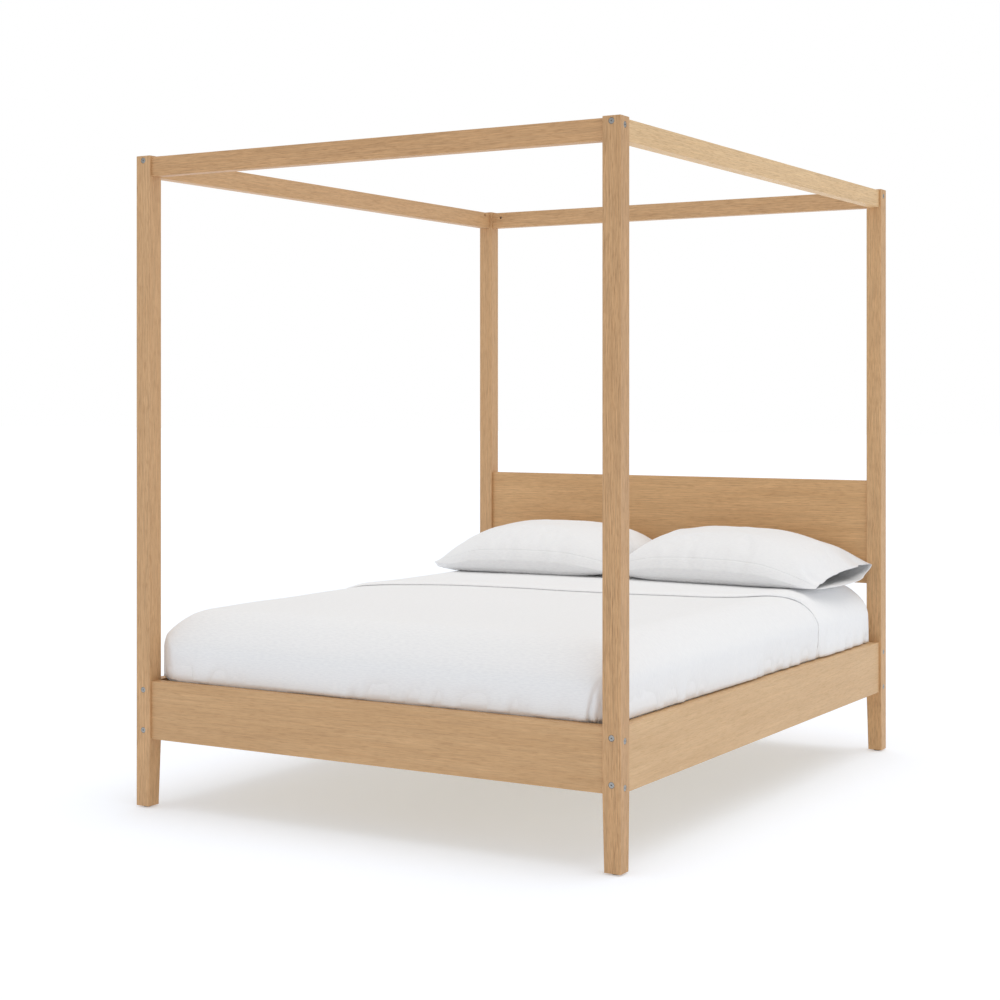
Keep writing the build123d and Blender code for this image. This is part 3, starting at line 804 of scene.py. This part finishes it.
@dataclass
class Pillow:
    """A filled pillow in a plain case whose open end, the mouth, hangs past the filling.

    The lips are how far the upper and the lower layer hang past the mouth's corners.
    """

    side: str
    direction: int
    low: Vector
    high: Vector
    headboard: float
    case_wide: float = 0.860
    case_deep: float = 0.560
    open_end: float = 0.060
    seam: float = 0.006
    cell: float = 0.0105
    pressure: float = 5.0
    frames: int = 22
    width_drawn: float = 0.905
    depth_drawn: float = 0.905
    waist: float = 0.014
    crease_share: float = 0.85
    corner_lift: float = 0.0
    corner_drawn: float = 0.22
    inner_drawn: float = 0.14
    back_spread: float = 0.045
    mouth: float = 0.12
    lips: tuple[float, float] = (-0.012, 0.026)
    corner_slant: float = 0.026
    level_from: float = 0.34

    def flat_case(self) -> bmesh.types.BMesh:
        """Two layers of cloth joined on three sides, open at the outer end."""
        wide, deep = self.case_wide / 2, self.case_deep / 2
        bm = cloth_grid((-wide, wide), (-deep, deep), self.cell)
        made = bmesh.ops.extrude_face_region(bm, geom=list(bm.faces))
        lifted = [item for item in made["geom"] if isinstance(item, bmesh.types.BMVert)]
        bmesh.ops.translate(bm, vec=(0.0, 0.0, self.seam), verts=lifted)
        bmesh.ops.recalc_face_normals(bm, faces=bm.faces)
        ends = [face for face in bm.faces
                if all(vert.co.x * self.direction > wide - 1e-4 for vert in face.verts)]
        bmesh.ops.delete(bm, geom=ends, context="FACES_ONLY")
        return bm

    def creases(self, piece: Piece) -> list[Vector]:
        """Fill the case by cloth simulation and read the creases that the filling pulls in it.

        Args:
            piece: the flat case; its mesh comes back filled.

        Returns:
            For each vertex, how far the creased cloth lies from its own smooth form.
        """
        scene = bpy.context.scene
        group = piece.vertex_groups.new(name="filled")
        inner = self.case_wide / 2 - self.open_end
        for vert in piece.data.vertices:
            weight = 1.0 - smooth_step(inner - 0.03, inner + 0.01, vert.co.x * self.direction)
            group.add([vert.index], weight, "REPLACE")
        cloth = add_modifier(piece, "CLOTH")
        strengths = {
            "quality": 6, "mass": 0.2, "tension_stiffness": 30, "compression_stiffness": 30,
            "shear_stiffness": 10, "bending_stiffness": 1.5, "tension_damping": 12,
            "compression_damping": 12, "shear_damping": 8, "air_damping": 2, "use_pressure": True,
            "uniform_pressure_force": self.pressure, "vertex_group_pressure": group.name}
        for key, value in strengths.items():
            setattr(cloth.settings, key, value)
        cloth.settings.effector_weights.gravity = 0.0
        cloth.collision_settings.use_collision = False
        cloth.point_cache.frame_start = 1
        cloth.point_cache.frame_end = self.frames
        scene.frame_start, scene.frame_end = 1, self.frames
        for moment in range(1, self.frames + 1):
            scene.frame_set(moment)
        bake_modifiers(piece)
        scene.frame_set(1)
        piece.vertex_groups.clear()
        bm = bmesh.new()
        bm.from_mesh(piece.data)
        rounds = []
        for count in (2, 22):
            for _ in range(count):
                bmesh.ops.smooth_vert(
                    bm, verts=bm.verts, factor=0.5, use_axis_x=True, use_axis_y=True, use_axis_z=True)
            rounds.append([vert.co.copy() for vert in bm.verts])
        bm.free()
        return [ironed - smooth for ironed, smooth in zip(*rounds)]

    def seat(self, across: float, deep: float, upper: bool) -> Vector:
        """Where a point of the case lies once the pillow is filled, put down and leant back.

        Args:
            across: metres of case from its middle, towards the open end.
            deep: metres of case from its middle, towards the headboard.
            upper: whether the point is on the upper layer.

        Returns:
            The point in the bed's frame.
        """
        run = self.case_wide / 2 - across
        back = deep / (self.case_deep / 2)
        inner = smooth_step(self.case_wide * 0.45, self.case_wide, run)
        loose = 1 - smooth_step(0.0, self.mouth, run)
        tail = max(0.0, (run - self.level_from) / (self.case_wide - self.level_from))
        rounded = max(0.0, 1 - tail ** 4.2) ** 0.5
        front_seam, back_seam = along_path(FRONT_SEAM, run), along_path(BACK_SEAM, run)
        front_seam += self.corner_lift * (1 - smooth_step(0.0, 0.16, run))
        seam = front_seam + (back_seam - front_seam) * (back + 1) / 2
        middle = (front_seam + back_seam) / 2
        dome = max(0.0, 1 - abs(back) ** 2.5) ** 0.62
        if upper:
            height = seam + (along_path(CREST, run) - middle) * dome * rounded
        else:
            rest = (1 - abs(back) ** (16 if back < 0 else 6)) * (1 - max(0.0, run / self.case_wide) ** 14)
            height = seam * (1 - rest * (1 - 0.20 * loose))
        bow = 1 - back * back
        x = (self.case_wide / 2 - run) * self.width_drawn
        x += self.waist * bow * (1.3 * inner - 0.5 * loose)
        x += self.lips[0 if upper else 1] * bow * (1 - smooth_step(0.0, 0.10, run))
        tail_end = max(0.0, 1 - run / 0.26) ** 2
        inner_end = max(0.0, 1 - (self.case_wide - run) / 0.20) ** 2
        if back < 0:
            drawn = self.depth_drawn - (self.corner_drawn * tail_end + self.inner_drawn * inner_end)
            x += self.corner_slant * back * tail_end
        else:
            drawn = self.depth_drawn + self.back_spread * (tail_end + inner_end)
        return Vector((x * self.direction, deep * drawn, height))

    def settle(self, piece: Piece, flat: Sequence[Vector], creases: Sequence[Vector]) -> None:
        """Seat the filled pillow on the sheet, against the headboard, with its creases."""
        middle_x = (self.low.x + self.high.x) / 2 - self.direction * 0.024
        middle_y = self.headboard - 0.008 - self.case_deep * (self.depth_drawn + self.back_spread) / 2
        for vert, start, crease in zip(piece.data.vertices, flat, creases):
            place = self.seat(start.x * self.direction, start.y, start.z > self.seam / 2)
            above = smooth_step(0.002, 0.040, place.z)
            place += crease * self.crease_share * above
            place.z = max(place.z, 0.0)
            vert.co = place + Vector((middle_x, middle_y, self.low.z + 0.003))

    def build(self) -> None:
        """Make, fill, settle and dress the pillow."""
        name = f"pillow_{self.side}_cased"
        piece = link_piece(name, mesh_from(self.flat_case(), name), [])
        flat = [vert.co.copy() for vert in piece.data.vertices]
        creases = self.creases(piece)
        self.settle(piece, flat, creases)
        piece.data.materials.append(CASE.material())
        piece.data.shade_smooth()
        add_modifier(piece, "SUBSURF", levels=1, render_levels=1)
        bake_modifiers(piece)
        add_modifier(piece, "SOLIDIFY", thickness=0.0012, offset=-1.0)
        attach(piece, BODY)
        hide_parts(f"pillow_{self.side}")
        log.info("%s: %d faces", name, len(piece.data.polygons))


def along_path(path: Sequence[tuple[float, float]], place: float) -> float:
    """A smooth curve through a few points.

    Args:
        path: places and values, in rising order of place.
        place: where to read the curve; beyond its ends it stays level.

    Returns:
        The curve's value there.
    """
    if place <= path[0][0]:
        return path[0][1]
    for number in range(len(path) - 1):
        (x0, y0), (x1, y1) = path[number], path[number + 1]
        if place <= x1:
            before, after = path[max(0, number - 1)], path[min(len(path) - 1, number + 2)]
            slope0 = (y1 - before[1]) / (x1 - before[0])
            slope1 = (after[1] - y0) / (after[0] - x0)
            step = x1 - x0
            t = (place - x0) / step
            return ((2 * t ** 3 - 3 * t * t + 1) * y0 + (t ** 3 - 2 * t * t + t) * step * slope0
                    + (3 * t * t - 2 * t ** 3) * y1 + (t ** 3 - t * t) * step * slope1)
    return path[-1][1]


# The turned-down edge of the top sheet in flat cloth, across the bed and along it: it crosses the top
# a little above the middle, swings up towards the pillows at the right-hand shoulder and hangs there.
HEM = (
    (-0.93, -0.05), (-0.74, -0.10), (-0.67, -0.075), (-0.60, -0.005), (-0.46, 0.054), (-0.20, 0.088),
    (0.15, 0.113), (0.34, 0.124), (0.47, 0.155), (0.57, 0.205), (0.64, 0.275), (0.70, 0.415),
    (0.74, 0.475), (0.79, 0.475), (0.85, 0.470), (0.93, 0.500),
)


@dataclass
class Bedding:
    """Everything soft on the bed."""

    form: MattressForm
    tuck: float = 0.345
    cuff: float = 0.0100
    swell: float = 0.0022
    dimple: float = 0.0012
    broad_fold: tuple[float, float] = (0.0080, 0.0110)
    crease: float = 0.0085
    pucker: float = 0.0150
    gather: float = 0.0060
    crease_per_m: float = 13.0

    def hem(self, across: float) -> float:
        """Where the top sheet's turned-down edge lies."""
        return along_path(HEM, across)

    def wrinkles(self, across: float, along: float) -> float:
        """Soft unevenness: slow swells on the top, and upright folds and puckers towards the tuck."""
        spine_x, spine_y = self.form.spine
        slow = self.swell * ripple(across * 2.1, along * 2.1, 2.0)
        slow += self.dimple * ripple(across * 6, along * 5, 6.0)
        down_x, down_y = abs(across) - spine_x, abs(along) - spine_y
        down = max(down_x, down_y, 0.0)
        if down == 0.0:
            return slow
        on_side = down_x > down_y
        shoulder = self.form.side if on_side else (self.form.head if along > 0 else self.form.foot)
        rail = self.form.reach(self.form.rail_top, shoulder)
        run = along if on_side else across
        seed = (13 if on_side else 19) + math.copysign(3, across if on_side else along)
        depth = smooth_step(0.05, rail, down)
        low = smooth_step(rail - 0.075, rail, down)
        tautness = 0.5 + 0.5 * ripple(run * 1.7, 0.0, seed + 9)
        broad = self.broad_fold[0 if on_side else 1] * (0.5 + tautness)
        broad *= ripple(run * 7.0 + down * 1.5, down * 1.4, seed)
        line = 1 - abs(ripple(run * self.crease_per_m + down * 2.5, down * 2.2, seed + 2)) * 3.4
        fine = self.crease * max(0.0, line) * tautness
        pinch = 1 - abs(ripple(run * self.crease_per_m + down * 4, down * 3, seed + 5)) * 4
        pucker = self.pucker * max(0.0, pinch) * low * smooth_step(0.32, 0.52, tautness)
        corner = smooth_step(0.30, 0.95, min(down_x, down_y) / down)
        pleat = 1 - 2.6 * abs(ripple((down_x - down_y) * 22, down * 2, seed + 7))
        gather = self.gather * max(0.0, pleat) * corner
        return slow * (1 - depth) + (broad - fine) * depth * (1 - corner) - pucker - gather * depth

    def cover_lift(self, across: float, along: float) -> float:
        """How far the coverlet stands off the mattress."""
        return 0.0055 + self.wrinkles(across, along)

    def cuff_lift(self, across: float, along: float) -> float:
        """How far the turned-down sheet stands off: its folded edge is a soft roll over the coverlet."""
        run = along - self.hem(across)
        roll = self.cuff * (1 - math.exp(-max(run, 0.0) / 0.010)) * (0.2 + 0.8 * math.exp(-run / 0.14))
        down = max(abs(across) - self.form.spine[0], along - self.form.spine[1], 0.0)
        tight = 1 - 0.75 * smooth_step(0.00, 0.12, down)
        return 0.0080 + roll * tight + self.wrinkles(across, along)

    def build(self) -> None:
        """Make the bed from the mattress up."""
        form = self.form
        Mattress(form).build()
        end = form.spine[1] + form.reach(self.tuck)
        BedSheet(
            "fitted_sheet_cloth", "fitted_sheet", form, PERCALE, lambda x: end, lambda x: -end,
            lambda x, y: 0.0005, self.tuck, 0.0010, "stretched", ("mattress_body",), "sheet_cotton",
            cell=0.024).build()
        BedSheet(
            "coverlet_cloth", "coverlet", form, SATEEN, lambda x: self.hem(x) + 0.09, lambda x: -end,
            self.cover_lift, self.tuck, 0.0026, "laid", ("fitted_sheet_cloth",), "coverlet_cotton").build()
        BedSheet(
            "top_sheet_cloth", "top_sheet", form, PERCALE, lambda x: end, self.hem,
            self.cuff_lift, self.tuck, 0.0030, "laid", ("coverlet_cloth", "fitted_sheet_cloth"),
            "sheet_cotton", crowd=0.16).build()
        for side, direction in (("left", -1), ("right", 1)):
            low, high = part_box(f"pillow_{side}")
            lift = 0.026 if side == "left" else 0.0
            Pillow(side, direction, low, high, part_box("headboard_panel")[0].y, corner_lift=lift).build()


# ---- Studio ----
@dataclass
class Studio:
    """A pale floor, soft light from the right and above, and the camera."""

    spot: tuple[float, float, float] = (3.051, -5.630, 1.258)
    heading: float = 31.85
    lens: float = 68.9
    shift: tuple[float, float] = (0.0742, -0.1008)
    surround: float = 0.70
    key_strength: float = 1.06
    key_turn: tuple[float, float, float] = (-6.5, 10.5, 0.0)
    key_spread: float = 62.0
    floor_glow: float = 0.34

    def build(self) -> None:
        """Set up floor, world, light and camera."""
        self.make_floor()
        self.make_world()
        self.make_key()
        data = bpy.data.cameras.new("camera")
        data.lens = self.lens
        data.sensor_width = 36.0
        data.shift_x, data.shift_y = self.shift
        camera = bpy.data.objects.new("camera", data)
        camera.location = self.spot
        camera.rotation_euler = (math.pi / 2, 0.0, math.radians(self.heading))
        bpy.context.scene.collection.objects.link(camera)
        bpy.context.scene.camera = camera
        bpy.context.scene.view_settings.view_transform = "Standard"

    def make_floor(self) -> None:
        """A wide pale floor with a painted glow: its emission lightens the shadow on it, and its faint blue
        base, which shows only in that shadow, cools the shadow's warm tint.
        """
        bm = bmesh.new()
        bmesh.ops.create_grid(bm, x_segments=1, y_segments=1, size=60.0)
        material, tree, shader = new_material("painted_glow_floor")
        place = add_node(tree, "TexCoord").outputs["Object"]
        cloud = mottling(tree, place, 0.6, 2.0)
        # Painted light: the emission lightens the floor's shadow, and the blue in the base cools that
        # shadow's tint.
        feed(tree, shader, {
            "Base Color": ramp(tree, cloud, ((0.3, "d5dae2"), (0.7, "d7dce4"))), "Roughness": 0.9,
            "Emission Color": (1.0, 1.0, 1.0, 1.0), "Emission Strength": self.floor_glow,
            "Specular IOR Level": 0.1})
        floor = link_piece("studio_floor", mesh_from(bm, "studio_floor"), [material])

    def make_world(self) -> None:
        """An even surround that lights softly and shows as plain white."""
        world = bpy.data.worlds.new("surround")
        world.use_nodes = True
        tree = world.node_tree
        seen = add_node(tree, "LightPath").outputs["Is Camera Ray"]
        feed(tree, tree.nodes["Background"], {
            "Strength": spread(tree, seen, (self.surround, 1.0)), "Color": (1.0, 1.0, 1.0, 1.0)})
        bpy.context.scene.world = world

    def make_key(self) -> None:
        """A broad soft light from the right and above, the same all over the floor."""
        data = bpy.data.lights.new("key", "SUN")
        data.energy = self.key_strength
        data.angle = math.radians(self.key_spread)
        lamp = bpy.data.objects.new("key", data)
        lamp.rotation_euler = [math.radians(turn) for turn in self.key_turn]
        bpy.context.scene.collection.objects.link(lamp)


def main() -> None:
    """Dress the frame, make the bed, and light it."""
    nodes = frame["nodes"]
    TimberFrame(nodes).dress()
    MattressBase(nodes).dress()
    Fittings(nodes).dress()
    low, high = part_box("mattress")
    Bedding(MattressForm(low, high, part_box("side_rail_right")[1].z)).build()
    Studio().build()


if __name__ == "__main__":
    logging.basicConfig(level=logging.INFO, format="%(message)s")
    main()
